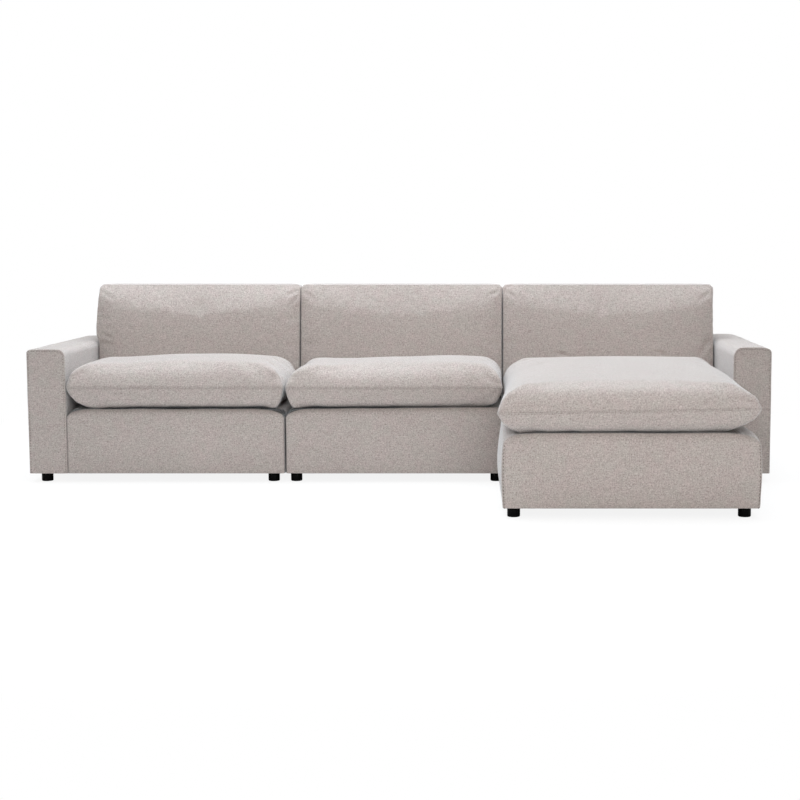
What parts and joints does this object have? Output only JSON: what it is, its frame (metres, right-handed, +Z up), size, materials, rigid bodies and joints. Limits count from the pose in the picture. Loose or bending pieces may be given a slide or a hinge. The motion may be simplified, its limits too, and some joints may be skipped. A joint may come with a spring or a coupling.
{
  "type": "sectional sofa with chaise",
  "caption": "Modular sectional sofa with track arms, loose seat and back cushions and a deep chaise on the right; seats people, its units hook together.",
  "frame": {"origin": "on the floor, below the middle of the outline's width and depth", "axes": "+X to the right as seen from the front, where the chaise is; +Y to the rear; +Z up"},
  "size_m": [3.126, 1.825, 0.816],
  "materials": {
    "oatmeal_weave": "matte",
    "deck_cloth": "matte",
    "dust_cloth": "matte",
    "webbing_band": "matte",
    "foam": "matte",
    "pine": "matte",
    "black_plastic": "satin",
    "zinc_steel": "satin"
  },
  "bodies": {
    "centre_unit": {"centre_base_cover": "oatmeal_weave", "centre_base_frame": "pine", "centre_webbing": "webbing_band", "centre_deck_pad": "deck_cloth", "centre_dust_cover": "dust_cloth", "centre_back_cover": "oatmeal_weave", "centre_back_frame": "pine", "centre_foot_front_left": "black_plastic", "centre_foot_rear_left": "black_plastic", "centre_foot_front_right": "black_plastic", "centre_foot_rear_right": "black_plastic", "centre_catch_left_front": "zinc_steel", "centre_catch_left_rear": "zinc_steel", "centre_catch_chaise_front": "zinc_steel", "centre_catch_chaise_rear": "zinc_steel"},
    "left_unit": {"left_base_cover": "oatmeal_weave", "left_base_frame": "pine", "left_webbing": "webbing_band", "left_deck_pad": "deck_cloth", "left_dust_cover": "dust_cloth", "left_back_cover": "oatmeal_weave", "left_back_frame": "pine", "left_arm_cover": "oatmeal_weave", "left_arm_frame": "pine", "left_foot_front_inner": "black_plastic", "left_foot_rear_inner": "black_plastic", "left_foot_front_outer": "black_plastic", "left_foot_rear_outer": "black_plastic", "left_hook_front": "zinc_steel", "left_hook_rear": "zinc_steel"},
    "chaise_unit": {"chaise_base_cover": "oatmeal_weave", "chaise_base_frame": "pine", "chaise_webbing": "webbing_band", "chaise_deck_pad": "deck_cloth", "chaise_dust_cover": "dust_cloth", "chaise_back_cover": "oatmeal_weave", "chaise_back_frame": "pine", "chaise_arm_cover": "oatmeal_weave", "chaise_arm_frame": "pine", "chaise_foot_front_left": "black_plastic", "chaise_foot_front_right": "black_plastic", "chaise_foot_middle_left": "black_plastic", "chaise_foot_rear_left": "black_plastic", "chaise_foot_front_outer": "black_plastic", "chaise_foot_rear_outer": "black_plastic", "chaise_hook_front": "zinc_steel", "chaise_hook_rear": "zinc_steel"},
    "left_seat_cushion": {"left_seat_cushion_cover": "oatmeal_weave", "left_seat_cushion_core": "foam"},
    "centre_seat_cushion": {"centre_seat_cushion_cover": "oatmeal_weave", "centre_seat_cushion_core": "foam"},
    "chaise_cushion": {"chaise_cushion_cover": "oatmeal_weave", "chaise_cushion_core": "foam"},
    "left_back_cushion": {"left_back_cushion_cover": "oatmeal_weave", "left_back_cushion_core": "foam"},
    "centre_back_cushion": {"centre_back_cushion_cover": "oatmeal_weave", "centre_back_cushion_core": "foam"},
    "chaise_back_cushion": {"chaise_back_cushion_cover": "oatmeal_weave", "chaise_back_cushion_core": "foam"}
  },
  "joints": [
    {"name": "left_unit_lift", "type": "slide", "parent": "centre_unit", "child": "left_unit", "axis": [0, 0, 1], "range_m": [0, 0.05]},
    {"name": "chaise_unit_lift", "type": "slide", "parent": "centre_unit", "child": "chaise_unit", "axis": [0, 0, 1], "range_m": [0, 0.05]},
    {"name": "left_seat_cushion_lift", "type": "slide", "parent": "left_unit", "child": "left_seat_cushion", "axis": [0, 0, 1], "range_m": [0, 0.35]},
    {"name": "centre_seat_cushion_lift", "type": "slide", "parent": "centre_unit", "child": "centre_seat_cushion", "axis": [0, 0, 1], "range_m": [0, 0.35]},
    {"name": "chaise_cushion_lift", "type": "slide", "parent": "chaise_unit", "child": "chaise_cushion", "axis": [0, 0, 1], "range_m": [0, 0.35]},
    {"name": "left_back_cushion_lift", "type": "slide", "parent": "left_unit", "child": "left_back_cushion", "axis": [0, 0, 1], "range_m": [0, 0.4]},
    {"name": "centre_back_cushion_lift", "type": "slide", "parent": "centre_unit", "child": "centre_back_cushion", "axis": [0, 0, 1], "range_m": [0, 0.4]},
    {"name": "chaise_back_cushion_lift", "type": "slide", "parent": "chaise_unit", "child": "chaise_back_cushion", "axis": [0, 0, 1], "range_m": [0, 0.4]}
  ]
}
